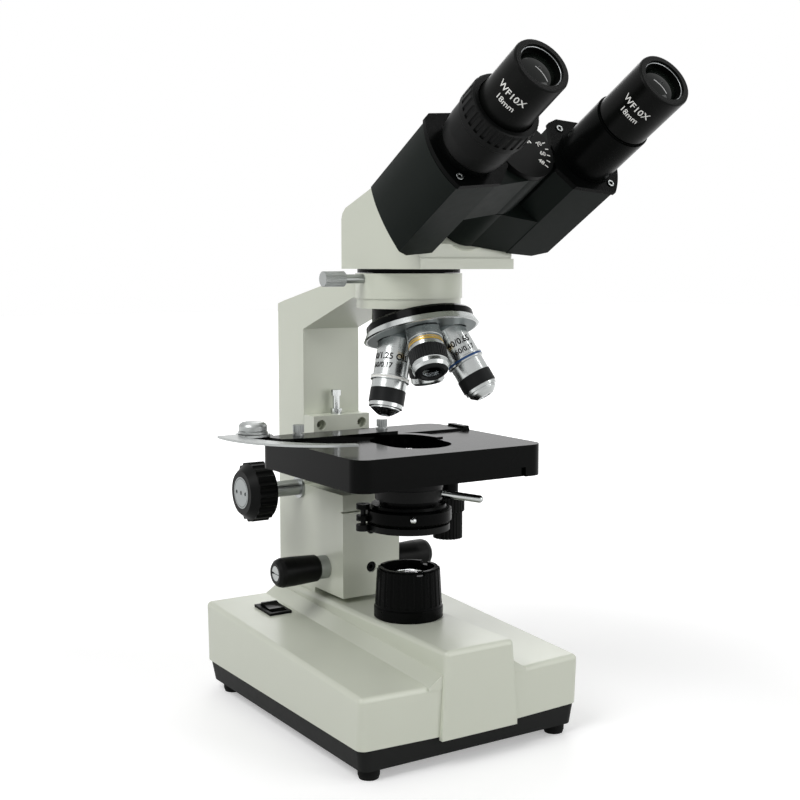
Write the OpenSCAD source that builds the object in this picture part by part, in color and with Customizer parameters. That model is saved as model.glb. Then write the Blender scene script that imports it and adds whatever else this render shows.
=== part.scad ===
// Binocular laboratory microscope with a hinged binocular head, quadruple nosepiece,
// mechanical stage, swing-out filter condenser and in-base illuminator.
// The optical axis is the Z axis, the bench is z = 0, -Y is the observer's side. Millimetres.

/* [Base] */
// Width of the base housing
base_w = 146; // [130:1:170]
// Front face of the base shoulders, measured forward of the optical axis
base_front = 67; // [60:1:80]
// Rear face of the base, measured behind the optical axis
base_rear = 125; // [122:1:140]
// Height of the underside of the housing above the bench
base_bottom = 18; // [16:1:22]
// Height of the shoulders at the front edge
shoulder_front_h = 46.5; // [42:0.5:52]
// Height of the shoulders at the rear edge
shoulder_rear_h = 55.5; // [50:0.5:60]
// Half width of the raised centre block at its top
block_half_w = 21.5; // [18:0.5:26]
// Height of the flat top of the centre block
block_h = 64.5; // [60:0.5:70]
// Outward draft of each side of the centre block down to the bench side
block_draft = 3.6; // [2:0.2:5]
// How far the front skirt of the centre block laps over the base plate
skirt_drop = 2; // [1:0.5:3]
// How far the centre block stands proud of the front face
block_proud = 5; // [3:0.5:8]
// Edge rounding of the moulded housing
edge_r = 3; // [2:0.5:5]
// Wall of the housing
base_wall = 3; // [2:0.5:4]

/* [Base plate and feet] */
// Inset of the dark base plate from the housing outline
plate_inset = 1; // [1:0.5:4]
// Further inset of the plate at its lower edge
plate_draft = 1.5; // [1:0.5:5]
// Height of the base plate underside above the bench
plate_z = 6; // [5:0.5:9]
// Radius of a rubber foot
foot_r = 6; // [5:0.5:9]
// Inset of the feet from the sides of the housing
foot_inset = 10.5; // [9:0.5:16]

/* [Switch and inlet] */
// Length of the rocker switch bezel, along the base
switch_l = 22; // [20:1:28]
// Width of the rocker switch bezel
switch_w = 15; // [13:1:20]
// Sideways place of the switch on the left shoulder
switch_x = -44; // [-50:1:-38]
// Place of the switch behind the optical axis
switch_y = 88; // [70:1:100]
// Radius of the rocker's curved top
rocker_r = 20; // [16:1:26]
// Width of the bezel rim round the rocker
bezel_rim = 2.2; // [1.8:0.1:2.6]

/* [Illuminator] */
// Radius of the collector mounting ring
collector_ring_r = 20.2; // [18:0.2:24]
// Height of the collector mounting ring
collector_ring_h = 7; // [5:0.5:10]
// Radius of the collector barrel at its top
collector_top_r = 18.4; // [16:0.2:20]
// Height of the collector barrel above its ring
collector_h = 22.5; // [16:0.5:30]
// Number of grip flutes round the collector barrel
collector_flutes = 26; // [18:1:28]
// Radius of the collector lens
collector_lens_r = 14; // [10:0.5:15]

/* [Arm] */
// Width of the arm casting
arm_w = 40; // [36:1:46]
// Front face of the focusing box, behind the optical axis
box_front = 41.6; // [38:0.2:46]
// Front face of the column, behind the optical axis
column_front = 90; // [86:1:96]
// Rear face of the column, behind the optical axis
column_rear = 124; // [120:1:132]
// Underside of the focusing box
box_bottom = 67.7; // [66:0.1:72]
// Top of the focusing box
box_top = 131; // [120:1:136]
// Thickness of the focusing box front cover
cover_t = 8; // [5:0.5:10]
// Radius of the head seat ring
ring_r = 30.5; // [28:0.5:34]
// Height of the top of the head seat ring
ring_top = 264; // [262:0.5:265]
// Height of the underside of the head seat ring
ring_bottom = 250; // [248:0.5:253]

/* [Focusing] */
// Height of the coarse focus axis
coarse_z = 128.5; // [126:0.5:130]
// Place of the coarse focus axis behind the optical axis
coarse_y = 96; // [94:0.5:98]
// Radius of the coarse focus shaft
coarse_shaft_r = 3.5; // [3:0.1:4]
// Radius of the fluted coarse knobs
coarse_knob_r = 18.5; // [15:0.5:22]
// Outer face of the coarse knobs, from the middle of the arm
coarse_knob_end = 61; // [55:1:66]
// Thickness of the coarse knobs
coarse_knob_t = 17; // [12:1:20]
// Radius of the bright disc in each coarse knob
coarse_disc_r = 9.8; // [8:0.2:12]
// Height of the fine focus axis
fine_z = 83.5; // [80:0.5:88]
// Place of the fine focus axis behind the optical axis
fine_y = 63; // [58:0.5:68]
// Radius of the fine focus shaft
fine_shaft_r = 2.5; // [2:0.1:3]
// Radius of the fine knobs
fine_knob_r = 9; // [7:0.2:11]
// Outer face of the fine knobs, from the middle of the arm
fine_knob_end = 55; // [50:1:60]
// Teeth of the focusing pinion
pinion_teeth = 10; // [8:1:12]
// Module of the focusing rack
rack_module = 1; // [0.8:0.1:1.1]

/* [Stage] */
// Width of the stage
stage_w = 125; // [115:1:140]
// Front edge of the stage, forward of the optical axis
stage_front = 47.7; // [44:0.1:52]
// Rear edge of the stage, behind the optical axis
stage_rear = 67; // [62:0.5:67.5]
// Height of the stage surface
stage_top = 167; // [166:0.5:168]
// Thickness of the stage with its skirt
stage_t = 18; // [16:0.5:20]
// Radius of the stage corners
stage_corner_r = 9; // [5:0.5:14]
// Thickness of the holder rail
rail_t = 1.2; // [1:0.1:1.6]
// Radius of the coaxial stage drive knobs
drive_knob_r = 10.5; // [9:0.5:11]
// Half width of the oblong opening over the condenser, with round ends
stage_hole_r = 19.5; // [18:0.5:21]
// Reach of that opening forward of the optical axis
stage_hole_front = 28.8; // [26:0.2:31]
// Reach of that opening behind the optical axis
stage_hole_rear = 25.5; // [23:0.5:26.5]
// Height of the recess in the front apron of the stage
apron_recess_h = 5.5; // [4:0.5:8]

/* [Condenser] */
// Radius of the condenser barrel
condenser_r = 14.6; // [13:0.2:16]
// Radius of the iris housing
iris_r = 25; // [22:0.5:28]
// Length of the lift lever, from the optical axis
lift_lever_l = 42; // [36:1:48]

/* [Nosepiece] */
// Tilt of the nosepiece axis, which is also the half angle of the objectives
nose_tilt = 19; // [17:0.5:19.5]
// Distance from the cone's apex to the objective seats, along the nosepiece axis
nose_l = 41.9; // [41:0.1:46]
// Height of the cone's apex
apex_z = 269.6; // [269:0.1:274]
// Radius of the rotating disc
turret_r = 33; // [31:0.1:36]
// Thickness of the rotating disc
turret_t = 3.9; // [3:0.1:4]
// Turn of the disc away from the click stop, as it stands
turret_turn = 59; // [0:1:89]

/* [Head] */
// Inclination of the eyetubes above the horizontal
tube_incline = 30; // [30:1:45]
// Distance from the hinge to each eyetube axis
eye_arm = 37.5; // [37:0.1:39]
// Droop of each eyetube below level, as it stands
droop = 5; // [0:0.5:20]
// Height of the hinge axis at the rear face of the prism housings
hinge_z = 292.9; // [292:0.1:300]
// Place of that point forward of the optical axis
hinge_y = 49.3; // [48:0.1:54]
// Radius of the central hinge knuckles
knuckle_r = 16.5; // [14:0.1:16.6]
// Length of the prism housings
housing_l = 63; // [56:1:66]
// Half width of the head casting
head_half_w = 30; // [26:0.5:34]

/* [Eyepieces] */
// Outer radius of the eyepieces
eyepiece_r = 14.3; // [13:0.1:14.6]
// Length of an eyepiece above its shoulder
eyepiece_l = 32; // [28:0.5:38]
// Radius of the eyepiece insert barrel, nominal 23.2 across
insert_r = 11.6; // [11.6:0.1:11.8]
// Outer radius of the right eyetube
right_tube_r = 15.2; // [14.5:0.1:15.6]
// Length of the right eyetube above its housing cover
right_tube_l = 31.7; // [28:0.5:36]
// Length of the left eyetube above its housing cover
left_tube_l = 33.2; // [30:0.5:38]
// Radius of the dioptre collar at its grip
collar_r = 18.4; // [17.6:0.2:20]
// Number of grip slots round the dioptre collar
collar_slots = 28; // [20:1:36]

/* [Hidden] */
run = 0.06;
gap = 0.3;
hw = base_w/2;
plate_top = base_bottom;
hinge_p = [0, -hinge_y, hinge_z];
tube_r = 13.6;
pitch_r = pinion_teeth*rack_module/2;

module cyl(r, h, z = 0) translate([0, 0, z]) cylinder(r = r, h = h, $fn = 72);
module along_x(r, x0, x1, y, z) translate([x0, y, z]) rotate([0, 90, 0]) cylinder(r = r, h = x1 - x0, $fn = 64);
module side_plate(pts, x0, x1) translate([x0, 0, 0]) rotate([90, 0, 90]) linear_extrude(x1 - x0) polygon(pts);
module rounded(x0, x1, y0, y1, r) {
  translate([x0 + r, y0]) square([x1 - x0 - 2*r, y1 - y0]);
  translate([x0, y0 + r]) square([x1 - x0, y1 - y0 - 2*r]);
  for (x = [x0 + r, x1 - r], y = [y0 + r, y1 - r]) translate([x, y]) circle(r = r, $fn = 48);
}
module fluted(r, h, n, depth) difference() {
  cyl(r, h);
  for (i = [0:n - 1]) rotate(i*360/n) translate([r + depth*0.6, 0, -1]) cylinder(r = depth*1.6, h = h + 2, $fn = 16);
}
module revolve(pts) rotate_extrude($fn = 72) polygon(pts);
module grip(r, h, n, cut_r, depth) difference() {
  cyl(r, h);
  for (i = [0:n - 1]) rotate((i + 0.5)*360/n) translate([r + cut_r - depth, 0, -1]) cylinder(r = cut_r, h = h + 2, $fn = 24);
}
module head_frame() translate(hinge_p) rotate([90 - tube_incline, 0, 0]) children();
module right_arm() rotate(-droop) children();
module left_arm() mirror([1, 0, 0]) rotate(-droop) children();
module nose_frame() translate([0, 0, apex_z]) rotate([-nose_tilt, 0, 0]) children();

module base_skin(inset, low) hull() {
  translate([0, 0, low]) linear_extrude(1) rounded(-hw + inset, hw - inset, -base_front + inset, base_rear - inset, 5);
  translate([-block_half_w, -base_front - block_proud*0.6 + inset, low]) cube([2*block_half_w, 5, 1]);
  for (sx = [-1, 1]) {
    translate([sx*(hw - edge_r - inset), -base_front + edge_r + inset, shoulder_front_h - edge_r - inset]) sphere(r = edge_r, $fn = 24);
    translate([sx*(hw - edge_r - inset), base_rear - edge_r - inset, shoulder_rear_h - edge_r - inset]) sphere(r = edge_r, $fn = 24);
    translate([sx*block_half_w, -base_front - block_proud*0.6 + edge_r + inset, shoulder_front_h - edge_r - inset]) sphere(r = edge_r, $fn = 24);
  }
}
module block_skin() {
  hull() {
    for (sx = [-1, 1], y = [-base_front - block_proud + edge_r, base_rear - edge_r])
      translate([sx*(block_half_w - edge_r/2), y, block_h - edge_r]) sphere(r = edge_r, $fn = 24);
    translate([-block_half_w - block_draft, -base_front - block_proud, base_bottom])
      cube([2*(block_half_w + block_draft), base_rear + base_front + block_proud - edge_r, 1]);
  }
  hull() {
    translate([0, -base_front - block_proud*0.5, 0]) rotate([90, 0, 0]) linear_extrude(0.5) band(shoulder_front_h);
    translate([0, base_rear - edge_r, 0]) rotate([90, 0, 0]) linear_extrude(0.5) band(shoulder_rear_h);
  }
  translate([-block_half_w - block_draft, -base_front - block_proud, base_bottom - skirt_drop])
    cube([2*(block_half_w + block_draft), base_wall, skirt_drop + 1]);
}
module band(h) polygon([[-block_half_w - 11, h - 2], [-block_half_w - 11, h - 0.4], [-block_half_w - 6, h + 1.6],
  [-block_half_w - 2, h + 5.5], [block_half_w + 2, h + 5.5], [block_half_w + 6, h + 1.6], [block_half_w + 11, h - 0.4],
  [block_half_w + 11, h - 2]]);
module base_housing() color("#c9ccbd") difference() {
  union() {
    base_skin(0, base_bottom);
    block_skin();
  }
  translate([-hw + base_wall, -base_front + base_wall, base_bottom - 1]) cube([base_w - 2*base_wall, base_rear + base_front - 2*base_wall, shoulder_front_h - base_wall - base_bottom - 1]);
  translate([-block_half_w + base_wall, -base_front + base_wall, base_bottom]) cube([2*block_half_w - 2*base_wall, base_rear*0.5 + base_front, block_h - base_wall*1.5 - base_bottom]);
  cyl(collector_lens_r, 20, block_h - 15);
  translate([switch_x - switch_w/2 + bezel_rim - 1, switch_y - switch_l/2 + bezel_rim - 1.4, base_bottom]) cube([switch_w - 2*bezel_rim + 2, switch_l - 2*bezel_rim + 2.8, 60]);
  translate([hw - 55, base_rear - 17, base_bottom + 5]) cube([28, 26, 20.5]);
}
module base_plate() color("#2c3130") difference() {
  hull() {
    translate([0, 0, plate_top - 1]) linear_extrude(1) rounded(-hw + plate_inset, hw - plate_inset, -base_front - 1 + plate_inset, base_rear - plate_inset, 6);
    translate([0, 0, plate_z]) linear_extrude(1) rounded(-hw + plate_inset + plate_draft, hw - plate_inset - plate_draft, -base_front - 1 + plate_inset + plate_draft, base_rear - plate_inset - plate_draft*2, 5);
  }
  for (x = [-40:10:40]) translate([x - 2, 20, plate_z - 1]) cube([4, 40, plate_top - plate_z + 2]);
  translate([0, 0, plate_z + 3]) linear_extrude(30) difference() {
    rounded(-hw + 8, hw - 8, -base_front + 6, base_rear - 14, 4);
    for (x = [-hw + foot_inset, hw - foot_inset], y = [-base_front + 9, base_rear - 17]) translate([x, y]) circle(r = 7);
  }
}
module rubber_feet() color("#161616") for (x = [-hw + foot_inset, hw - foot_inset], y = [-base_front + 9, base_rear - 17]) translate([x, y, 0]) {
  cylinder(r1 = foot_r - 0.7, r2 = foot_r, h = 2, $fn = 48);
  cyl(foot_r, plate_z - 2, 2);
}
shoulder_run = base_rear + base_front + block_proud*0.6 - 2*edge_r;
shoulder_slope = atan((shoulder_rear_h - shoulder_front_h)/shoulder_run);
switch_z = shoulder_rear_h - (base_rear - edge_r - switch_y)*tan(shoulder_slope);
module switch_frame() translate([switch_x, switch_y, switch_z]) rotate([shoulder_slope, 0, 0]) children();
module switch_bezel() color("#151515") switch_frame() difference() {
  union() {
    translate([-switch_w/2, -switch_l/2, 0.02]) cube([switch_w, switch_l, 1.6]);
    translate([-switch_w/2 + bezel_rim - 0.8, -switch_l/2 + bezel_rim - 0.8, -8]) cube([switch_w - 2*bezel_rim + 1.6, switch_l - 2*bezel_rim + 1.6, 9]);
  }
  translate([-switch_w/2 + bezel_rim, -switch_l/2 + bezel_rim, -6]) cube([switch_w - 2*bezel_rim, switch_l - 2*bezel_rim, 12]);
}
module switch_rocker() color("#0d0d0d") switch_frame() translate([0, 0, 0.6]) rotate([9, 0, 0]) difference() {
  intersection() {
    translate([-switch_w/2 + bezel_rim + gap, -switch_l/2 + bezel_rim + 1.6, -4.2])
      cube([switch_w - 2*bezel_rim - 2*gap, switch_l - 2*bezel_rim - 3.2, 12]);
    along_x(rocker_r, -switch_w/2, switch_w/2, 0, -rocker_r + 3.4);
  }
  along_x(rocker_r, -switch_w/2, switch_w/2, 0, rocker_r + 2.2);
}
module power_inlet() color("#121212") translate([hw - 41, base_rear, base_bottom + 15]) difference() {
  union() {
    translate([-15, 0.02, -11.5]) cube([30, 2, 23]);
    translate([-13.4, -16, -9.8]) cube([26.8, 17, 19.6]);
  }
  translate([-11.5, -12, -7.5]) cube([23, 20, 15]);
}
module lamp_holder() color("#d8d5c8") {
  difference() {
    translate([0, 0, plate_z + 3]) cyl(11, 18);
    translate([0, 0, plate_z + 8]) cyl(6, 20);
  }
}
module lamp_bulb() color("#eef3f7", 0.6) translate([0, 0, plate_z + 8.02]) {
  cyl(5.8, 10);
  cyl(4.6, 15, 10);
  translate([0, 0, 25]) sphere(r = 4.6, $fn = 48);
}
module collector_barrel() color("#101010") translate([0, 0, block_h]) difference() {
  union() {
    revolve([[5, 0.02], [collector_ring_r - 0.6, 0.02], [collector_ring_r, 0.6], [collector_ring_r, collector_ring_h - 0.8], [collector_ring_r - 0.8, collector_ring_h], [5, collector_ring_h]]);
    difference() {
      translate([0, 0, collector_ring_h]) cylinder(r1 = collector_top_r + 1.2, r2 = collector_top_r, h = collector_h - 1, $fn = 96);
      for (i = [0:collector_flutes - 1]) rotate(i*360/collector_flutes) translate([collector_top_r + 2.35, 0, collector_ring_h + 1.2]) rotate([0, -3, 0]) cylinder(r = 1.75, h = collector_h + 2, $fn = 20);
    }
    cyl(collector_top_r - 1.2, collector_h + collector_ring_h);
  }
  cyl(collector_lens_r + 1.2, 60, 2);
  cyl(collector_lens_r - 1, 10, -1);
  for (i = [0:2]) rotate(i*120 + 20) translate([collector_top_r - 4, -2.5, collector_ring_h + collector_h - 2.2]) cube([8, 5, 4]);
}
module collector_lens() color("#dfe8ee", 0.5) translate([0, 0, block_h]) {
  cyl(collector_lens_r + 1.15, 3, collector_ring_h + collector_h - 9);
  intersection() {
    translate([0, 0, collector_ring_h + collector_h - 6 - 22]) sphere(r = 26, $fn = 96);
    cyl(collector_lens_r, 10, collector_ring_h + collector_h - 6.2);
  }
}

arm_x = arm_w/2;
slot_half = 8;
module arm_side() polygon([[column_rear, 46], [column_rear, 244], [column_rear - 8, 246], [64, 256.6], [24, ring_top - 1],
  [0, ring_top - 1], [0, ring_bottom], [28.7, ring_bottom], [column_front, 229], [column_front, box_top], [box_front + cover_t, box_top],
  [box_front + cover_t, box_bottom], [77, box_bottom], [77, 46]]);
module arm_casting() color("#cdd0c2") difference() {
  union() {
    translate([-arm_x, 0, 0]) rotate([90, 0, 90]) linear_extrude(arm_w) arm_side();
    cyl(ring_r, ring_top - ring_bottom, ring_bottom);
    cyl(ring_r - 0.8, 5.5, ring_bottom - 5.5);
  }
  translate([-hw, 70, 0]) cube([base_w, 80, block_h + 0.02]);
  cyl(22.6, 10, ring_top - 5.5);
  cyl(13, 60, ring_bottom - 20);
  along_x(2.55, -60, 0, 0, ring_top - 3);
  along_x(coarse_shaft_r + run, -30, 30, coarse_y, coarse_z);
  along_x(5.05, -arm_x - 1, -arm_x + 6, coarse_y, coarse_z);
  along_x(5.05, arm_x - 6, arm_x + 1, coarse_y, coarse_z);
  along_x(fine_shaft_r + run, -30, 30, fine_y, fine_z);
  along_x(pitch_r + rack_module + 0.6, -slot_half, slot_half, coarse_y, coarse_z);
  translate([-slot_half, coarse_y + pitch_r - rack_module - gap, coarse_z - 44]) cube([2*slot_half, 2.1*rack_module + 6 + 2*gap, 92]);
  translate([-slot_half, column_front - 1, 135]) cube([2*slot_half, coarse_y + pitch_r - column_front + 2, coarse_z + 46 - 135]);
  for (z = [109, 85]) translate([0, 0, z]) rotate([-90, 0, 0]) cyl(1.55, box_front + 20);
}
module focus_cover() color("#cdd0c2") difference() {
  translate([-arm_x, box_front, box_bottom]) cube([arm_w, cover_t - 0.02, box_top - box_bottom]);
  translate([-arm_x - 1, box_front - 1, 120]) cube([arm_w + 2, 3, 1.1]);
  for (z = [109, 85]) translate([0, box_front, z]) rotate([-90, 0, 0]) {
    cyl(3.4, 8, -4);
    cyl(1.55, 20);
  }
}
module cover_screws() color("#2a2a2a") for (z = [109, 85]) translate([0, box_front, z]) rotate([-90, 0, 0]) difference() {
  union() {
    cyl(2.9, 3, 0.8);
    cyl(1.5, 14, 3);
  }
  translate([0, 0, -0.5]) cylinder(r = 1.5, h = 3, $fn = 6);
}
module coarse_sleeves() color("#c8c9c7") for (s = [-1, 1]) scale([s, 1, 1]) difference() {
  union() {
    along_x(5, arm_x - 6, coarse_knob_end - coarse_knob_t - 1, coarse_y, coarse_z);
    along_x(7, arm_x + 0.02, arm_x + 1.6, coarse_y, coarse_z);
  }
  along_x(coarse_shaft_r + run, 0, 80, coarse_y, coarse_z);
}
function tooth(a, r, w) = [for (k = [[-w, -1.1], [-w*0.45, 0.85], [w*0.45, 0.85], [w, -1.1]]) [(r + k[1]*rack_module)*cos(a + k[0]), (r + k[1]*rack_module)*sin(a + k[0])]];
module coarse_shaft() color("#b9bcbf") {
  along_x(coarse_shaft_r, -coarse_knob_end + 4, coarse_knob_end - 4, coarse_y, coarse_z);
  translate([-slot_half + 1, coarse_y, coarse_z]) rotate([90, 0, 90]) linear_extrude(2*slot_half - 2)
    polygon([for (i = [0:pinion_teeth - 1]) each tooth(i*360/pinion_teeth, pitch_r, 80/pinion_teeth)]);
}
module coarse_knobs() color("#141414") for (s = [-1, 1]) scale([s, 1, 1]) translate([coarse_knob_end - coarse_knob_t, coarse_y, coarse_z]) rotate([0, 90, 0]) difference() {
  union() {
    cyl(coarse_knob_r - 1.6, 1.5);
    translate([0, 0, 1.5]) grip(coarse_knob_r, coarse_knob_t - 6, 20, 2.8, 1.1);
    translate([0, 0, coarse_knob_t - 4.5]) cylinder(r1 = coarse_knob_r - 1.3, r2 = coarse_knob_r - 5, h = 4.5, $fn = 72);
  }
  cyl(coarse_disc_r + 0.1, 4, coarse_knob_t - 1.2);
  cyl(coarse_shaft_r, 40, -1);
}
module coarse_discs() color("#c4c6c6") for (s = [-1, 1]) scale([s, 1, 1]) translate([coarse_knob_end - 1.2, coarse_y, coarse_z]) rotate([0, 90, 0]) difference() {
  cyl(coarse_disc_r, 1.4, 0.02);
  for (a = [90, -90]) rotate(a) translate([6, 0, 0.6]) cyl(1.2, 3);
}
module fine_shaft() color("#b9bcbf") {
  along_x(fine_shaft_r, -fine_knob_end + 3, fine_knob_end - 3, fine_y, fine_z);
  for (s = [-1, 1]) scale([s, 1, 1]) along_x(7.2, arm_x + gap, arm_x + 6.5, fine_y, fine_z);
}
fine_knob_l = fine_knob_end - arm_x - 6.52;
module fine_knobs() for (s = [-1, 1]) scale([s, 1, 1]) translate([arm_x + 6.52, fine_y, fine_z]) rotate([0, 90, 0]) {
  color("#131313") revolve([[fine_shaft_r, 0], [fine_knob_r - 1.6, 0], [fine_knob_r - 0.8, 1.2], [fine_knob_r, fine_knob_l*0.6],
    [fine_knob_r, fine_knob_l - 4], [fine_knob_r - 0.9, fine_knob_l - 1.5], [fine_knob_r - 2.6, fine_knob_l], [4.7, fine_knob_l], [4.7, fine_knob_l - 2], [fine_shaft_r, fine_knob_l - 2]]);
  color("#c4c6c6") difference() {
    cyl(4.6, 1.8, fine_knob_l - 1.98);
    translate([-0.6, -8, fine_knob_l - 0.9]) cube([1.2, 16, 4]);
  }
}
rack_y = coarse_y + pitch_r;
rack_pitch = PI*rack_module;
rack_bottom = coarse_z - 24;
rack_teeth = 17;
module rack_slide() color("#9a9d9e") {
  difference() {
    translate([-slot_half + gap, rack_y + rack_module*1.1, rack_bottom]) cube([2*slot_half - 2*gap, 6, 56]);
  }
  for (i = [0:rack_teeth - 1]) translate([0, rack_y, coarse_z + rack_pitch*(i - 7 + 0.5)]) side_plate([[1.3*rack_module, -0.75*rack_module], [-0.85*rack_module, -0.3*rack_module],
    [-0.85*rack_module, 0.3*rack_module], [1.3*rack_module, 0.75*rack_module]], -slot_half + 1, slot_half - 1);
  translate([-slot_half + gap, column_front - 10, coarse_z + 22.5]) cube([2*slot_half - 2*gap, rack_y + rack_module*1.1 + 1 - column_front + 10, 9]);
}

carriage_front = column_front - 13;
module stage_carriage() color("#cdd0c2") difference() {
  translate([-arm_x, carriage_front, 149.3]) cube([arm_w, 13 - gap, 26]);
  for (x = [-14.6, 14.6]) translate([x, carriage_front, 169.6]) rotate([-90, 0, 0]) {
    cyl(3.2, 8, -4);
    cyl(1.7, 20);
  }
  translate([0, column_front - 6, 165]) cyl(2.3, 30);
  translate([-slot_half + gap - run/2, column_front - 10 - run, coarse_z + 21]) cube([2*slot_half - 2*gap + run, 20, 12]);
}
module limit_screw() color("#c9cbcb") translate([0, column_front - 6, 0]) {
  cyl(2.25, 19.5, 167.4);
  cyl(3.6, 3.4, 175.32);
  difference() {
    cyl(3.1, 3.6, 186.9);
    translate([-4, -0.5, 189]) cube([8, 1, 3]);
  }
}
module stage_guide() color("#26292a") difference() {
  union() {
    translate([0, 0, 149.3]) linear_extrude(8.4) rounded(-46, 46, -20, 66, 6);
    translate([-arm_x, 60, 149.3]) cube([arm_w, carriage_front - 60 - 0.02, 12]);
  }
  cyl(28, 40, 140);
}
module stage_plate() color("#17191a") difference() {
  translate([0, 0, stage_top - stage_t]) linear_extrude(stage_t) rounded(-stage_w/2, stage_w/2, -stage_front, stage_rear, stage_corner_r);
  translate([-46.5, -36, stage_top - stage_t - 1]) cube([93, stage_rear + 40, 10]);
  translate([-arm_x - 3, 40, stage_top - stage_t - 1]) cube([arm_w + 6, 40, 14]);
  translate([0, 0, stage_top - stage_t - 1]) cyl(28.5, 13);
  for (y = [-stage_hole_front + stage_hole_r, stage_hole_rear - stage_hole_r]) translate([0, y, stage_top - 30]) cyl(stage_hole_r, 40);
  translate([-stage_hole_r, -stage_hole_front + stage_hole_r, stage_top - 30]) cube([2*stage_hole_r, stage_hole_front + stage_hole_rear - 2*stage_hole_r, 40]);
  translate([-stage_w/2 + 18.5, -stage_front - 1, stage_top - stage_t - 1]) cube([stage_w - 32.5, 3, apron_recess_h + 1]);
}
module x_rail() color("#9b9e9f") {
  translate([-stage_w/2 + 1, 27, stage_top + 0.02]) cube([stage_w - 1, 18, rail_t]);
  translate([stage_w/2 - 4, 27.5, stage_top + rail_t]) cube([4, 17, 1.2]);
}
drive_x = 52;
drive_y = 35;
drive_top = stage_top - stage_t - 0.02;
module stage_drive() color("#1a1c1c") translate([drive_x, drive_y, 0]) difference() {
  union() {
    cyl(8.5, 8, drive_top - 8);
    cyl(6.5, 20, drive_top - 23.5);
  }
  cyl(4.5 + run, 60, 110);
}
upper_knob_z = drive_top - 33;
module knob_upper() color("#141414") translate([drive_x, drive_y, 0]) difference() {
  union() {
    translate([0, 0, upper_knob_z]) fluted(drive_knob_r, 9, 28, 0.6);
    cyl(4.5, drive_top - 2 - upper_knob_z, upper_knob_z);
  }
  cyl(3 + run, 60, 110);
}
module knob_lower() color("#141414") translate([drive_x, drive_y, 0]) {
  translate([0, 0, drive_top - 50.2]) fluted(drive_knob_r - 1.3, 16.6, 24, 0.6);
  cyl(3, 48.5, drive_top - 50.2);
}
holder_z = stage_top + rail_t + gap;
pivot = [-75, 50];
module slide_holder() color("#b7babb") {
  translate([0, 0, holder_z]) linear_extrude(1.5) {
    polygon([[-66, 30], [-58, 27.5], [-48, 26], [9, 25.5], [11, 29], [11, 44], [-34, 46], [-60, 46], [-72, 50]]);
    translate(pivot) circle(r = 9, $fn = 64);
    translate(pivot) rotate(-20) square([12, 7.4]);
  }
  translate([-3.5, 23, stage_top + gap]) cube([12, 27 - gap - 23, holder_z - stage_top]);
  translate([0, 0, stage_top + gap]) linear_extrude(1.5)
    polygon([[-4, 26.6], [-4, 22.5], [6, 20.5], [11, 17], [14.5, 11], [16.5, 4], [17.5, -3], [22, -3], [22.5, 4], [21, 12], [17, 19], [9, 24.5], [9, 26.6]]);
}
module holder_screws() color("#c6c8c8") for (p = [[-50, 41], [6, 39]]) translate([p[0], p[1], holder_z + 1.52]) {
  cyl(2.2, 2);
  cyl(3.4, 0.9);
  translate([0, 0, 1.6]) grip(3.3, 4.4, 18, 0.5, 0.25);
}
finger_z = holder_z + 1.5 + gap;
module holder_finger() color("#c3c6c7") translate([0, 0, finger_z]) linear_extrude(1.3) difference() {
  union() {
    difference() {
      translate([-30, 44]) circle(r = 67, $fn = 128);
      translate([-14, 47]) circle(r = 72, $fn = 128);
      translate([-120, 52]) square([240, 80]);
      translate([-46, -60]) square([160, 140]);
    }
    translate(pivot) circle(r = 10, $fn = 64);
    translate([-90, 44]) square([14, 8]);
  }
  translate(pivot) circle(r = 2.5 + run, $fn = 48);
}
module finger_knob() color("#c9cbcb") translate([pivot[0], pivot[1], 0]) {
  cyl(2.5, 4, holder_z + 1.52);
  translate([0, 0, finger_z + 1.3 + gap]) revolve([[0, 0], [8.6, 0], [8.6, 1], [8, 1.4], [8.2, 1.9], [8.2, 4.3], [7.6, 5.5], [6.2, 6.4], [3.5, 6.9], [0, 7]]);
}

module condenser_carrier() color("#1b1d1d") difference() {
  union() {
    cyl(20, stage_top - stage_t - 141, 141);
    translate([-11, 10, 141]) cube([22, 28, stage_top - stage_t + 0.28 - 141]);
  }
  cyl(sleeve_r + run, 40, 130);
}
sleeve_r = condenser_r + 2.3;
module condenser_body() color("#141414") difference() {
  union() {
    cyl(sleeve_r, 16.5, 131);
    cyl(condenser_r, 28.5, 130);
    revolve([[0, 120.6], [iris_r - 2, 120.6], [iris_r, 122.4], [iris_r, 128.6], [iris_r - 1, 129.4], [iris_r - 3, 129.8], [iris_r - 3.4, 131.4], [0, 131.4]]);
    for (z = [122.5, 129.2]) translate([-26, 8, z]) cyl(4, 3);
  }
  cyl(10.6, 60, 118);
  cyl(iris_r - 4, 1.4, 119.5);
  translate([-26, 8, 120]) cyl(1.5 + run, 13);
}
module condenser_lens() color("#dbe6ee", 0.55) {
  cyl(10.5, 4, 156.5);
  intersection() {
    translate([0, 0, 149.5]) sphere(r = 14, $fn = 96);
    cyl(10.5, 5, 160.2);
  }
}
lift_angle = -41;
module lift_lever() color("#cfd1d1") {
  difference() {
    cyl(sleeve_r + 2.6, 6.4, 134.3);
    cyl(sleeve_r + run, 20, 130);
  }
  rotate([0, 0, lift_angle]) translate([0, 0, 139.7]) rotate([0, 97, 0]) {
    cyl(2.25, lift_lever_l - 19.5, 19);
    translate([0, 0, lift_lever_l - 0.5]) sphere(r = 2.25, $fn = 32);
  }
}
module iris_lever() color("#bfc2c2") rotate([0, 0, -118]) translate([0, 0, 127]) rotate([0, 90, 0]) {
  cyl(1.2, 6, iris_r + 0.05);
  translate([0, 0, iris_r + 6]) sphere(r = 1.8, $fn = 32);
}
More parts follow.
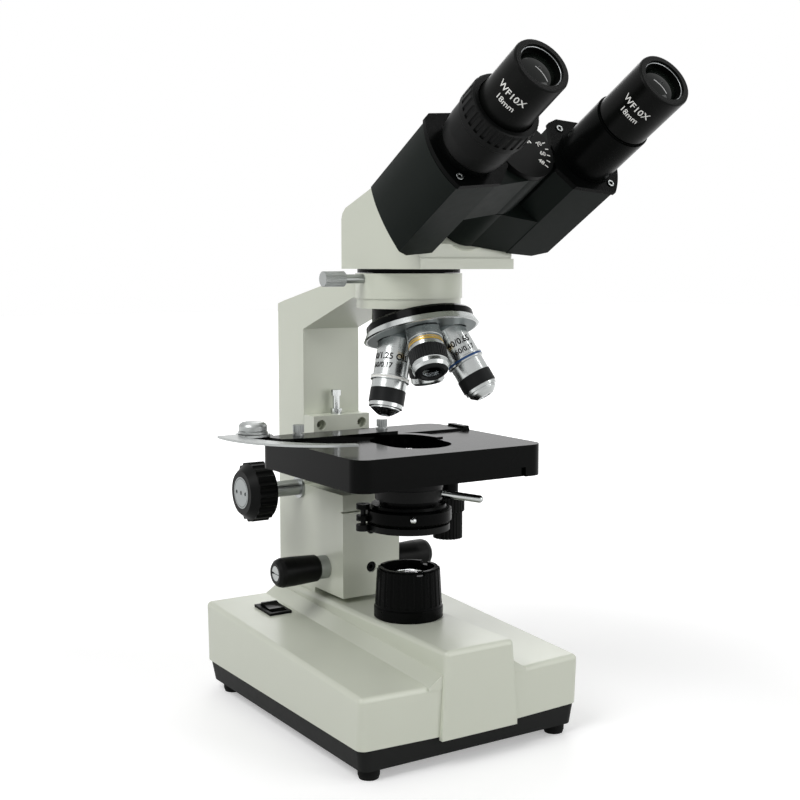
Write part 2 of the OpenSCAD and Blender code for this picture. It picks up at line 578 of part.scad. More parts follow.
module filter_holder() color("#181818") {
  difference() {
    cyl(24, 3.6, 116.6);
    cyl(19, 10, 117.8);
    cyl(16, 10, 110);
  }
  difference() {
    translate([-26, 8, 116.6]) cyl(4.2, 3.6);
    cyl(19, 10, 117.8);
  }
  translate([-26, 8, 117]) cyl(1.5, 15);
}
module filter_glass() color("#7fa8c9", 0.6) cyl(18.9, 2, 117.82);

module nose_base() color("#101010") difference() {
  union() {
    nose_frame() translate([0, 0, -nose_l + turret_t + gap]) revolve([[0, 0], [turret_r - 2.2, 0], [turret_r - 2.6, 3.6], [turret_r - 4.2, 5], [turret_r - 12, 5.6], [0, 5.6]]);
    intersection() {
      cyl(21, 30, ring_bottom - 5.52 - 14);
      nose_frame() translate([-40, -40, -nose_l + 6]) cube([80, 80, 60]);
      translate([-40, -40, 200]) cube([80, 80, ring_bottom - 5.52 - 200]);
    }
  }
  cyl(9, 80, 200);
  cyl(ring_r - 0.78, 10, ring_bottom - 5.52);
}
module turret() color("#9a9ea0") nose_frame() difference() {
  union() {
    translate([0, 0, -nose_l]) revolve([[0, 0], [turret_r - 1, 0], [turret_r, 0.5], [turret_r - 1.9, turret_t], [0, turret_t]]);
    intersection() {
      for (i = [0:3]) seat_frame(i) cyl(10.1, 12, -10.92);
      cyl(40, 20, -nose_l - 20 + turret_t);
    }
  }
  for (i = [0:3]) seat_frame(i) {
    cyl(8.5, 30, -20);
    cyl(10.4, 12, seat_drop);
  }
}
seat_drop = 1.08;
module seat_frame(i) rotate(turret_turn + i*90) rotate([nose_tilt, 0, 0]) translate([0, 0, -nose_l/cos(nose_tilt)]) rotate([180, 0, 0]) children();
module objective_place(i) nose_frame() seat_frame(i) children();
module objective_4() color("#c3c5c4") objective_place(3) revolve([[5, -1.2], [8.4, -1.2], [8.4, 1.1], [9.6, 1.1], [9.6, 8], [9.9, 8.3], [9.9, 9.4], [9.6, 9.7],
  [9.6, 14], [10.3, 14.6], [10.3, 20.6], [9.8, 21], [9.8, 24], [8.5, 25.5], [5, 25.5]]);
module objective_10() color("#c3c5c4") objective_place(1) revolve([[5, -1.2], [8.4, -1.2], [8.4, 1.1], [9.6, 1.1], [9.6, 7.4], [9.9, 7.6], [9.9, 9], [9.7, 9.2],
  [9.9, 15.2], [10.6, 15.8], [10.6, 23.8], [10.1, 24.3], [10.2, 26.6], [9.2, 28.6], [7.4, 29.8], [6.4, 29.8], [5.6, 28.6], [5, 28.6]]);
module objective_40() color("#c3c5c4") objective_place(2) revolve([[5, -1.2], [8.4, -1.2], [8.4, 1.1], [9.7, 1.1], [9.7, 19], [10.8, 19.4], [10.8, 20], [10.5, 20.2], [10.5, 20.9],
  [10.8, 21.1], [10.8, 22], [9.6, 22.5], [9.6, 30], [9.9, 30.2], [9.9, 37.4], [9.3, 37.6], [9.3, 39.4], [8.2, 39.6], [8.2, 41], [6.6, 42.4], [5, 43.7], [3.2, 43.7], [3.2, 42], [5, 41]]);
module objective_100() color("#c3c5c4") objective_place(0) revolve([[5, -1.2], [8.4, -1.2], [8.4, 1.1], [9.8, 1.1], [9.8, 22.4], [10.9, 22.8], [10.9, 23.6], [10.6, 23.8], [10.6, 24.3],
  [10.9, 24.5], [10.9, 25.2], [9.8, 25.6], [9.8, 30], [10, 30.2], [10, 37.8], [9.5, 38], [9.5, 40.2], [8.2, 40.6], [8.2, 41.2], [5, 43.6], [3.4, 44.5], [2.4, 44.5], [2.4, 42.5], [5, 41]]);
module objective_lenses() color("#93b7cf", 0.7) {
  objective_place(3) cyl(4.95, 2, 22.5);
  objective_place(1) cyl(4.95, 2.4, 26);
  objective_place(2) cyl(3.15, 1.4, 42);
  objective_place(0) cyl(2.35, 1.4, 42.8);
}

head_base = ring_top + 2.5;
lip_h = 5.6;
module head_casting() color("#cdd0c2") difference() {
  union() {
    side_plate([[24.5, head_base], [24.5, 294.5], [23.3, 297.9], [20, 300.8], [-33.7, 319.4], [-56.6, 279.7], [-56.6, head_base]], -head_half_w, head_half_w);
    translate([-head_half_w, -57.5, head_base]) cube([2*head_half_w + 0.8, 4, lip_h]);
    head_frame() cyl(knuckle_r + 1.8, 6, -6.35);
  }
  translate([-head_half_w - 1, -58, head_base + lip_h]) cube([2*head_half_w + 2, 1.9, 0.5]);
  cyl(13, 30, head_base - 1);
  head_frame() cyl(9, 60, -20);
  head_frame() cyl(6, 60, -35);
}
dovetail_neck_r = 20.4;
module head_dovetail() color("#202222") {
  difference() {
    union() {
      translate([0, 0, ring_top - 5.2]) cylinder(r1 = 22.1, r2 = dovetail_neck_r, h = 3.4, $fn = 96);
      cyl(dovetail_neck_r, 4.28, ring_top - 1.8);
    }
    cyl(12, 40, ring_top - 20);
  }
  // friction washer round the neck
  difference() {
    cyl(ring_r - 1.2, 2.18, ring_top + gap);
    cyl(dovetail_neck_r + 0.02, 10, ring_top - 2);
  }
}
module lock_screw() color("#c3c6c7") translate([0, 0, ring_top - 3]) rotate([0, -90, 0]) {
  cyl(2.5, 21, 23);
  translate([0, 0, 43]) fluted(4.3, 13, 24, 0.3);
}
module hinge_axle() color("#8d9092") head_frame() difference() {
  cyl(9 - 0.02, housing_l + 19, -19.9);
  cyl(6, 120, -30);
}
module housing_section() translate([eye_arm, 0]) intersection() {
  translate([-21, 3]) circle(r = 40, $fn = 180);
  polygon([[-17.5, 17.5], [-12, 20.5], [13, 20.5], [30, 8], [30, -19], [-11.5, -18.5], [-20.3, -9], [-19.8, 3]]);
}
module housing_body(z0, z1) difference() {
  union() {
    linear_extrude(housing_l) housing_section();
    translate([0, 0, z0]) cyl(knuckle_r, z1 - z0);
    translate([0, 0, z0]) linear_extrude(z1 - z0) polygon([[2, -knuckle_r + 0.4], [eye_arm - 12, -18.2], [eye_arm - 12, 9], [2, 11]]);
  }
  translate([eye_arm + 5, -40, 0]) rotate([0, -34, 0]) translate([0, 0, -40]) cube([60, 80, 40]);
  translate([0, 0, z0 - 1]) cyl(9 + run, z1 - z0 + 2);
  translate([eye_arm, 0, 9]) cyl(14, housing_l);
}
module housing_right() color("#1c1f20") head_frame() right_arm() housing_body(gap, housing_l/2 - gap);
module housing_left() color("#1c1f20") head_frame() left_arm() housing_body(housing_l/2 + gap, housing_l - gap);
module grown_section(k) translate([eye_arm + 5, 0]) scale([k, k, k]) translate([-eye_arm - 5, 0]) housing_section();
module cover_body() {
  difference() {
    union() {
      translate([0, 0, housing_l + 0.02]) linear_extrude(1.4) grown_section(0.975);
      translate([0, 0, housing_l + 1.02]) linear_extrude(2.5) grown_section(1.045);
    }
    cyl(knuckle_r + 0.7, 10, housing_l - 1);
    translate([eye_arm, 0, housing_l - 1]) cyl(10, 8);
    for (p = [[-12.5, 15.5], [11, -14.5]]) translate([eye_arm + p[0], p[1], housing_l + 2.6]) cyl(2.4, 4);
  }
  for (p = [[-12.5, 15.5], [11, -14.5]]) translate([eye_arm + p[0], p[1], housing_l + 2.62]) difference() {
    cyl(2, 1.4);
    translate([-3, -0.3, 0.8]) cube([6, 0.6, 2]);
  }
}
module cover_left() color("#171a1b") head_frame() left_arm() cover_body();
module cover_right() color("#171a1b") head_frame() right_arm() cover_body();
module dial() color("#161819") head_frame() right_arm() {
  cyl(knuckle_r, 3, housing_l + 0.02);
}
tube_base = housing_l + 3.54;
module eyetube_right() color("#151718") head_frame() right_arm() translate([eye_arm, 0, tube_base]) difference() {
  union() {
    cyl(right_tube_r + 0.6, 1.6);
    cyl(right_tube_r, right_tube_l - 0.6);
    cylinder(r = right_tube_r - 0.5, h = right_tube_l, $fn = 72);
  }
  cyl(insert_r + run, 60, 4);
  cyl(10, 60, -1);
}
module eyetube_left() color("#151718") head_frame() left_arm() translate([eye_arm, 0, tube_base]) difference() {
  union() {
    cyl(15.4, 4);
    cyl(tube_r, left_tube_l);
  }
  cyl(insert_r + run, 60, 4);
  cyl(10, 60, -1);
}
collar_l = left_tube_l - 1.5;
module dioptre_collar() color("#131516") head_frame() left_arm() translate([eye_arm, 0, tube_base + 4.3]) difference() {
  revolve([[5, 0], [15.6, 0], [16.6, 1.5], [collar_r - 1, 9], [collar_r - 0.8, collar_l - 13], [collar_r, collar_l - 12],
    [collar_r, collar_l - 1.4], [collar_r - 0.6, collar_l - 0.3], [collar_r - 1.4, collar_l], [5, collar_l]]);
  cyl(tube_r + run, 60, -1);
  cyl(eyepiece_r + 0.7, 10, left_tube_l - 4.3 - 0.9);
  for (i = [0:collar_slots - 1]) rotate(i*360/collar_slots) translate([collar_r + 0.5, 0, collar_l - 9]) cylinder(r = 1.25, h = 12, $fn = 16);
}
module eyepiece_body(shoulder) translate([0, 0, shoulder]) {
  difference() {
    union() {
      cyl(insert_r, 24, -22);
      revolve([[5, 0], [eyepiece_r - 0.4, 0], [eyepiece_r, 0.4], [eyepiece_r, eyepiece_l - 0.9], [eyepiece_r - 0.35, eyepiece_l - 0.2],
        [eyepiece_r - 0.9, eyepiece_l], [5, eyepiece_l]]);
    }
    cyl(9.5, 100, -30);
    revolve([[0, eyepiece_l - 4], [10.3, eyepiece_l - 4], [10.3, eyepiece_l - 1.4], [11, eyepiece_l - 1.2], [11.3, eyepiece_l + 1], [0, eyepiece_l + 1]]);
  }
  intersection() {
    cyl(10.1, 10, eyepiece_l - 5.5);
    translate([0, 0, eyepiece_l - 2.2 - 17]) sphere(r = 17, $fn = 96);
  }
}
module eyepiece_right() color("#141617") head_frame() right_arm() translate([eye_arm, 0, 0]) eyepiece_body(tube_base + right_tube_l + gap);
module eyepiece_left() color("#141617") head_frame() left_arm() translate([eye_arm, 0, 0]) eyepiece_body(tube_base + left_tube_l + gap);

base_housing();
base_plate();
rubber_feet();
switch_bezel();
switch_rocker();
power_inlet();
lamp_holder();
lamp_bulb();
collector_barrel();
collector_lens();
arm_casting();
focus_cover();
cover_screws();
coarse_sleeves();
coarse_shaft();
coarse_knobs();
coarse_discs();
fine_shaft();
fine_knobs();
rack_slide();
stage_carriage();
limit_screw();
stage_guide();
stage_plate();
x_rail();
stage_drive();
knob_upper();
knob_lower();
slide_holder();
holder_screws();
holder_finger();
finger_knob();
condenser_carrier();
condenser_body();
condenser_lens();
lift_lever();
iris_lever();
filter_holder();
filter_glass();
nose_base();
turret();
objective_4();
objective_10();
objective_40();
objective_100();
objective_lenses();
head_casting();
head_dovetail();
lock_screw();
hinge_axle();
housing_left();
housing_right();
cover_left();
cover_right();
dial();
dioptre_collar();
eyetube_left();
eyetube_right();
eyepiece_left();
eyepiece_right();
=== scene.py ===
import math

import bmesh
import bpy
from mathutils import Matrix, Vector


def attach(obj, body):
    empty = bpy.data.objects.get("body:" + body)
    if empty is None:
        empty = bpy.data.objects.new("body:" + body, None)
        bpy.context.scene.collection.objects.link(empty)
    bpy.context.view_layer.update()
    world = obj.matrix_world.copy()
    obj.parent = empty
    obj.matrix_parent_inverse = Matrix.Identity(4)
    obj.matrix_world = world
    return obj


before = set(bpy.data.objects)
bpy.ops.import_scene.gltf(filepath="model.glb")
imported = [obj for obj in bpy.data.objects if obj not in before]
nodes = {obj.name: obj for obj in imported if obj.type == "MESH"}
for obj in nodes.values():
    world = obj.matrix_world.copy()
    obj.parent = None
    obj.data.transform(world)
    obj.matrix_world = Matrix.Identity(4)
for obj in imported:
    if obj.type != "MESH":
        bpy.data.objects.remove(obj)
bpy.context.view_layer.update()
scene = bpy.context.scene
scene.view_settings.view_transform = "Standard"

# Directions and places of the part, in metres
X = Vector((1, 0, 0))
TUBE_RISE = math.radians(30)
D = Vector((0, -math.cos(TUBE_RISE), math.sin(TUBE_RISE)))  # along the eyepiece tubes
W = Vector((0, math.sin(TUBE_RISE), math.cos(TUBE_RISE)))  # square to the tubes, upwards
HINGE = Vector((0, -0.0493, 0.2929))  # start of the head's hinge line
HINGE_DROOP = math.radians(5)
EYE_ARM = 0.0375  # from the hinge line to each tube's axis
REACH = {1: 0.13054, -1: 0.13204}  # rims of the right and left eyepieces
NOSE_TILT = math.radians(19)
NOSE_APEX = Vector((0, 0, 0.2696))
NOSE_AXIS = (0, math.sin(NOSE_TILT), math.cos(NOSE_TILT))
SEAT_DROP = 0.0419  # from the apex down to the objectives' seats
TURRET_EDGE_R = 0.0311  # the turret is bright beyond this
CONDENSER_LINE = (0, 0, 0.138)
COARSE_CENTRE = (0, 0.096, 0.1285)
FINE_CENTRE = (0, 0.063, 0.0835)
EYEPIECE_R = 0.01432
EYE_MOUTH_R = 0.01015  # the part of an eyepiece round its lens
EYE_MOUTH_DEPTH = 0.0065
LEVER_BLACK_R = 0.0197  # the lift lever is plated beyond this
PLUG_R = 0.00465  # screw plug in the middle of a fine knob
# radii of the painted shade on a coarse knob's face: its centre hole and a groove near its rim
DISC_CENTRE_R = 0.00135
DISC_GROOVE_R = 0.0088
DISC_GROOVE_HALF = 0.00022
DISC_LINES = 26000  # phase of the turned lines, in radians a metre
INK_HEIGHT = 0.00004  # lettering above its surface
TICK_HEIGHT = 0.00006


def eye_frame(side):
    """Foot of a tube's axis on the hinge plane, and the tube's two cross directions."""
    out = X * side * math.cos(HINGE_DROOP) - W * math.sin(HINGE_DROOP)
    up = X * side * math.sin(HINGE_DROOP) + W * math.cos(HINGE_DROOP)
    return HINGE + out * EYE_ARM, out, up


def objective_frame(turn):
    """Seat and downward axis of the objective at an angle round the nosepiece."""
    tilt = Matrix.Rotation(NOSE_TILT, 3, "X")
    nose = tilt.transposed() @ Matrix.Rotation(math.radians(turn), 3, "Z") @ tilt
    axis = nose @ Vector((0, 0, -1))
    return NOSE_APEX + axis * (SEAT_DROP / math.cos(NOSE_TILT)), axis


def lin(r, g, b):
    """A colour given as it looks on screen, 0 to 255, in linear values."""
    out = []
    for c in (r, g, b):
        c = c / 255
        out.append(c / 12.92 if c <= 0.04045 else ((c + 0.055) / 1.055) ** 2.4)
    return (*out, 1.0)


# Materials
SOCKETS = {
    "color": "Base Color",
    "metallic": "Metallic",
    "roughness": "Roughness",
    "ior": "IOR",
    "coat": "Coat Weight",
    "coat_roughness": "Coat Roughness",
    "transmission": "Transmission Weight",
    "specular": "Specular IOR Level",
}
WEAR = 0.05  # how much fine noise adds to the roughness


class Shade:
    """A node tree with a few short helpers."""

    def __init__(self, name):
        self.mat = bpy.data.materials.new(name)
        self.mat.use_nodes = True
        self.t = self.mat.node_tree
        self.t.nodes.clear()
        self.out = self.t.nodes.new("ShaderNodeOutputMaterial")
        self.bsdf = self.t.nodes.new("ShaderNodeBsdfPrincipled")
        self.t.links.new(self.bsdf.outputs[0], self.out.inputs[0])
        self.coord = self.t.nodes.new("ShaderNodeTexCoord").outputs["Object"]

    def set(self, **values):
        for key, value in values.items():
            self.feed(value, self.bsdf.inputs[SOCKETS[key]])
        return self

    def feed(self, value, socket):
        """Links an output to a socket, or sets the socket to a plain value."""
        if isinstance(value, bpy.types.NodeSocket):
            self.link(value, socket)
        else:
            socket.default_value = value

    def node(self, kind, **props):
        n = self.t.nodes.new(kind)
        for k, v in props.items():
            setattr(n, k, v)
        return n

    def link(self, a, b):
        self.t.links.new(a, b)

    def noise(self, scale, detail=3.0, roughness=0.5, stretch=None):
        n = self.node("ShaderNodeTexNoise")
        n.inputs["Scale"].default_value = scale
        n.inputs["Detail"].default_value = detail
        n.inputs["Roughness"].default_value = roughness
        src = self.coord
        if stretch:
            m = self.node("ShaderNodeMapping")
            m.inputs["Scale"].default_value = stretch
            self.link(src, m.inputs["Vector"])
            src = m.outputs[0]
        self.link(src, n.inputs["Vector"])
        return n.outputs["Fac"]

    def steps(self, fac, stops):
        """A colour that jumps from one stop to the next."""
        n = self.node("ShaderNodeValToRGB")
        n.color_ramp.interpolation = "CONSTANT"
        els = n.color_ramp.elements
        while len(els) < len(stops):
            els.new(0.5)
        for e, (place, colour) in zip(els, stops):
            e.position = place
            e.color = colour
        self.link(fac, n.inputs["Fac"])
        return n.outputs["Color"]

    def span(self, fac, lo, hi, start=0.0, end=1.0):
        n = self.node("ShaderNodeMapRange")
        n.inputs["From Min"].default_value = start
        n.inputs["From Max"].default_value = end
        n.inputs["To Min"].default_value = lo
        n.inputs["To Max"].default_value = hi
        self.link(fac, n.inputs["Value"])
        return n.outputs["Result"]

    def math(self, op, *values):
        n = self.node("ShaderNodeMath", operation=op)
        for socket, value in zip(n.inputs, values):
            self.feed(value, socket)
        return n.outputs[0]

    def worn(self, roughness, noise):
        return self.math("ADD", roughness, self.math("MULTIPLY", noise, WEAR))

    def bump(self, height, strength, distance):
        n = self.node("ShaderNodeBump")
        n.inputs["Strength"].default_value = strength
        n.inputs["Distance"].default_value = distance
        self.link(height, n.inputs["Height"])
        self.link(n.outputs[0], self.bsdf.inputs["Normal"])
        return self

    def vector(self, op, a, b):
        n = self.node("ShaderNodeVectorMath", operation=op)
        self.feed(a, n.inputs[0])
        self.feed(b, n.inputs[1])
        return n

    def along(self, origin, axis):
        """Distance along an axis from a point, in metres."""
        offset = self.vector("SUBTRACT", self.coord, origin).outputs[0]
        return self.vector("DOT_PRODUCT", offset, axis).outputs["Value"]

    def radius(self, origin, axis):
        """Distance from an axis, in metres."""
        offset = self.vector("SUBTRACT", self.coord, origin).outputs[0]
        length = self.node("ShaderNodeVectorMath", operation="LENGTH")
        self.link(self.vector("CROSS_PRODUCT", offset, axis).outputs[0], length.inputs[0])
        return length.outputs["Value"]

    def mix(self, fac, a, b):
        n = self.node("ShaderNodeMix", data_type="RGBA")
        for socket, value in ((0, fac), (6, a), (7, b)):
            self.feed(value, n.inputs[socket])
        return n.outputs[2]

    def black(self, level, lift=5, green=1, blue=0):
        """Mottled black between two close levels."""
        low = lin(level, level + green, level + blue)
        high = lin(level + lift, level + lift + green, level + lift + blue)
        return self.mix(self.noise(30, 4), low, high)


def enamel(name, colour, rough=0.36, grain=0.10):
    s = Shade(name)
    dark = tuple(c * 0.95 for c in colour[:3]) + (1,)
    s.set(color=s.mix(s.noise(14, 2), dark, colour))
    s.set(roughness=s.span(s.noise(90, 3), rough - 0.05, rough + 0.07))
    s.set(coat=0.25, coat_roughness=0.25)
    return s.bump(s.noise(900, 3, 0.6), grain, 0.00015).mat


def satin_black(name, level, rough, grain, spec, lift=5, green=1):
    s = Shade(name)
    s.set(color=s.black(level, lift, green, green / 2), specular=spec)
    s.set(roughness=s.span(s.noise(240, 3), rough - 0.05, rough + 0.07))
    return s.bump(s.noise(1800, 2, 0.6), grain, 0.00008).mat


def metal(name, colour, rough, brushed=None):
    s = Shade(name)
    dark = tuple(c * 0.93 for c in colour[:3]) + (1,)
    s.set(color=s.mix(s.noise(25, 2), dark, colour), metallic=1.0)
    grain = s.noise(500, 3, 0.6, brushed) if brushed else s.noise(120, 2)
    s.set(roughness=s.span(grain, rough * 0.88, rough * 1.15))
    return s.bump(s.noise(1500, 2, 0.5, brushed), 0.02, 0.00004).mat


def glass(name, colour, rough=0.02):
    s = Shade(name)
    s.set(color=colour, roughness=rough, ior=1.5, transmission=1.0)
    return s.bump(s.noise(30, 1), 0.01, 0.0001).mat


def marking_ink(name, low, high, **finish):
    s = Shade(name)
    s.set(color=s.mix(s.noise(800, 2), low, high), **finish)
    return s.mat


def two_tone(name, plated_where, level, plate, shine, grain):
    """Black, with plated metal where the given mask is 1.

    grain gives the noise scale, the strength and the depth of the bump.
    """
    s = Shade(name)
    plated = plated_where(s)
    s.set(color=s.mix(plated, s.black(level), plate), metallic=plated, specular=0.1)
    rough = 0.38
    s.set(roughness=s.worn(s.math("MULTIPLY_ADD", plated, shine - rough, rough), s.noise(200, 2)))
    scale, strength, depth = grain
    return s.bump(s.noise(scale, 2), strength, depth).mat


def ocular_look(name, side):
    """Black barrel, a little paler and smoother round the lens in its mouth."""
    s = Shade(name)
    foot = tuple(eye_frame(side)[0])
    near = s.math("LESS_THAN", s.radius(foot, tuple(D)), EYE_MOUTH_R)
    high = s.math("GREATER_THAN", s.along(foot, tuple(D)), REACH[side] - EYE_MOUTH_DEPTH)
    lens = s.math("MULTIPLY", near, high)
    s.set(color=s.mix(lens, s.black(6), lin(13, 16, 14)), specular=0.06)
    s.set(roughness=s.worn(s.math("MULTIPLY_ADD", lens, -0.27, 0.3), s.noise(240, 3)))
    barrel = s.math("SUBTRACT", 1, lens)
    return s.bump(s.math("MULTIPLY", s.noise(1800, 2, 0.6), barrel), 0.03, 0.00006).mat


def turret_look():
    """Turned alloy with a bright edge."""
    s = Shade("turned_turret")
    edge = s.math("GREATER_THAN", s.radius(tuple(NOSE_APEX), NOSE_AXIS), TURRET_EDGE_R)
    face = s.mix(s.noise(25, 2), lin(112, 119, 119), lin(122, 129, 129))
    s.set(color=s.mix(edge, face, lin(186, 189, 188)), metallic=1.0)
    s.set(roughness=s.worn(s.math("MULTIPLY_ADD", edge, -0.18, 0.42), s.noise(150, 2)))
    return s.bump(s.noise(1500, 2), 0.02, 0.00004).mat


def disc_look():
    """Turned face of a coarse knob, with painted shade at its centre hole and in a groove near its
    rim.
    """
    s = Shade("brushed_disc")
    r = s.radius(COARSE_CENTRE, (1, 0, 0))
    # painted shade: the centre hole and the groove near the rim are coloured dark grey
    centre = s.math("LESS_THAN", r, DISC_CENTRE_R)
    from_groove = s.math("ABSOLUTE", s.math("SUBTRACT", r, DISC_GROOVE_R))
    groove_shade = s.math("LESS_THAN", from_groove, DISC_GROOVE_HALF)
    face = s.mix(s.noise(25, 2), lin(136, 140, 140), lin(146, 150, 150))
    s.set(color=s.mix(s.math("MAXIMUM", centre, groove_shade), face, lin(58, 60, 60)), metallic=1.0)
    turned = s.math("SINE", s.math("MULTIPLY", r, DISC_LINES))
    s.set(roughness=s.math("MULTIPLY_ADD", turned, 0.03, 0.36))
    return s.bump(turned, 0.04, 0.00003).mat


def banded(name, seat, axis, bands, knurl=None):
    """Plated metal whose colour, gloss and metal change along the axis.

    bands gives the start in millimetres, the colour, the metal and the roughness of each band.
    knurl gives the start and end of the ribs in millimetres, and their number.
    """
    s = Shade(name)
    length = 50  # millimetres covered by the ramp
    fac = s.math("DIVIDE", s.along(tuple(seat), tuple(axis)), length / 1000)
    ring = s.steps(fac, [(start / length, colour) for start, colour, _, _ in bands])
    finish = [(start / length, (met, rough, 0.0, 1.0)) for start, _, met, rough in bands]
    prop = s.steps(fac, finish)
    sep = s.node("ShaderNodeSeparateColor")
    s.link(prop, sep.inputs[0])
    stain = s.math("MULTIPLY", s.noise(60, 2), 0.06)
    s.set(color=s.mix(stain, ring, lin(120, 124, 126)), metallic=sep.outputs[0], specular=0.1)
    s.set(roughness=s.worn(sep.outputs[1], s.noise(300, 2, 0.6, (1, 1, 6))))
    if not knurl:
        return s.bump(s.noise(900, 2), 0.015, 0.00005).mat
    low, high, ribs = knurl
    first = X - axis * axis.x
    first.normalize()
    turn = [s.along(tuple(seat), tuple(e)) for e in (first, axis.cross(first))]
    wave = s.math("SINE", s.math("MULTIPLY", s.math("ARCTAN2", *turn), ribs))
    above = s.math("GREATER_THAN", fac, low / length)
    below = s.math("LESS_THAN", fac, high / length)
    return s.bump(s.math("MULTIPLY", wave, s.math("MULTIPLY", above, below)), 0.8, 0.0003).mat


CREAM = lin(206, 210, 195)
PLATED = lin(178, 181, 180)
BLACK = lin(7, 8, 8)
GREY = lin(60, 62, 62)
YELLOW = lin(206, 168, 78)
WHITE = lin(238, 238, 234)
BLUE = lin(48, 82, 130)
RED = lin(176, 38, 34)

cream = enamel("cream_enamel", CREAM)
cream_smooth = enamel("cream_enamel_fine", CREAM, 0.33, 0.06)
ceramic = enamel("socket_ceramic", lin(226, 221, 205), 0.5)
plate_grey = satin_black("plate_grey", 26, 0.5, 0.12, 0.08)
rubber = satin_black("foot_rubber", 12, 0.72, 0.2, 0.1)
black = satin_black("black_satin", 4, 0.27, 0.015, 0.03)
black_gloss = satin_black("black_gloss", 3, 0.12, 0.006, 0.04, 2)
black_matt = satin_black("black_matt", 7, 0.42, 0.08, 0.08)
housing_black = satin_black("housing_black", 16, 0.38, 0.03, 0.05, 5, 5)
chrome = metal("chrome_plate", lin(188, 191, 190), 0.13)
satin_chrome = metal("satin_chrome", lin(160, 163, 162), 0.34)
steel = metal("brushed_steel", lin(150, 153, 154), 0.32, (1, 10, 10))
clear = glass("clear_glass", (0.93, 0.96, 0.97, 1))
coated = glass("coated_glass", (0.75, 0.82, 0.86, 1))
blue_glass = glass("blue_filter", (0.35, 0.58, 0.85, 1), 0.05)
ink = marking_ink("white_marking", lin(225, 225, 220), lin(245, 245, 242), roughness=0.5)
dark_ink = marking_ink("dark_marking", lin(8, 8, 9), lin(18, 18, 19), roughness=0.6, specular=0.1)
disc = disc_look()
turret = turret_look()
lever = two_tone(
    "lift_lever_black_and_chrome",
    lambda s: s.math("GREATER_THAN", s.radius(CONDENSER_LINE, (0, 0, 1)), LEVER_BLACK_R),
    7, lin(172, 175, 174), 0.18, (1600, 0.03, 0.00006))
plug = two_tone(
    "fine_knob_black_and_chrome",
    lambda s: s.math("LESS_THAN", s.radius(FINE_CENTRE, (1, 0, 0)), PLUG_R),
    6, lin(165, 168, 167), 0.22, (1500, 0.06, 0.00008))

# Objectives: angle round the nosepiece, bands and knurl
OBJECTIVES = {
    "100": (59, [
        (0, PLATED, 1, 0.24), (23.4, WHITE, 0, 0.35), (24.7, PLATED, 1, 0.22), (30, BLACK, 0, 0.42),
        (38, PLATED, 1, 0.24), (44.4, BLACK, 0, 0.3)], None),
    "10": (149, [
        (0, PLATED, 1, 0.24), (10.4, YELLOW, 0.5, 0.3), (11.2, PLATED, 1, 0.22),
        (11.7, YELLOW, 0.5, 0.3), (12.8, GREY, 0, 0.3), (13.05, PLATED, 1, 0.22),
        (15.8, BLACK, 0, 0.42), (24, PLATED, 1, 0.24), (28.4, BLACK, 0, 0.3)], (16, 23.6, 44)),
    "40": (239, [
        (0, PLATED, 1, 0.24), (20, BLUE, 0.2, 0.3), (21.1, PLATED, 1, 0.22), (30, BLACK, 0, 0.42),
        (37.6, PLATED, 1, 0.24), (44.4, BLACK, 0, 0.3)], None),
    "4": (329, [
        (0, PLATED, 1, 0.24), (8, RED, 0.2, 0.3), (9.7, PLATED, 1, 0.22), (14.6, BLACK, 0, 0.42),
        (21, PLATED, 1, 0.24)], None),
}
seats = {tag: objective_frame(turn) for tag, (turn, _, _) in OBJECTIVES.items()}

looks = {
    "base_housing": cream, "base_plate": plate_grey, "rubber_feet": rubber,
    "switch_bezel": black_matt, "switch_rocker": black_gloss, "power_inlet": black_matt,
    "lamp_holder": ceramic, "lamp_bulb": clear, "collector_barrel": black, "collector_lens": clear,
    "arm_casting": cream, "focus_cover": cream_smooth, "cover_screws": black_matt,
    "coarse_sleeves": satin_chrome, "coarse_shaft": steel, "coarse_knobs": black_matt,
    "coarse_discs": disc, "fine_shaft": satin_chrome, "fine_knobs": plug, "rack_slide": steel,
    "stage_carriage": cream_smooth, "limit_screw": chrome, "stage_guide": black_matt,
    "stage_plate": black_gloss, "x_rail": black_gloss, "stage_drive": black,
    "knob_upper": black_matt, "knob_lower": black_matt, "slide_holder": black_gloss,
    "holder_screws": satin_chrome, "holder_finger": satin_chrome, "finger_knob": satin_chrome,
    "condenser_carrier": black_matt, "condenser_body": black, "condenser_lens": coated,
    "lift_lever": lever, "iris_lever": chrome, "filter_holder": black_matt,
    "filter_glass": blue_glass, "nose_base": black_gloss, "turret": turret,
    "objective_lenses": coated, "head_casting": cream, "head_dovetail": black,
    "lock_screw": satin_chrome, "hinge_axle": steel, "housing_left": housing_black,
    "housing_right": housing_black, "cover_left": black, "cover_right": black,
    "dial": black_matt, "dioptre_collar": black_matt, "eyetube_left": black,
    "eyetube_right": black, "eyepiece_left": ocular_look("ocular_left", -1),
    "eyepiece_right": ocular_look("ocular_right", 1),
}
for tag, (_, bands, knurl) in OBJECTIVES.items():
    looks[f"objective_{tag}"] = banded(f"lens_{tag}", *seats[tag], bands, knurl)
for name, material in looks.items():
    mesh = nodes[name].data
    mesh.materials.clear()
    mesh.materials.append(material)


# Small pieces
def put(name, mesh, material, body):
    """An object of the given mesh that rides on a body."""
    ob = bpy.data.objects.new(name, mesh)
    scene.collection.objects.link(ob)
    mesh.materials.append(material)
    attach(ob, body)
    return ob


def mesh_of(name, verts, faces):
    mesh = bpy.data.meshes.new(name)
    mesh.from_pydata([tuple(v) for v in verts], [], faces)
    mesh.update()
    return mesh


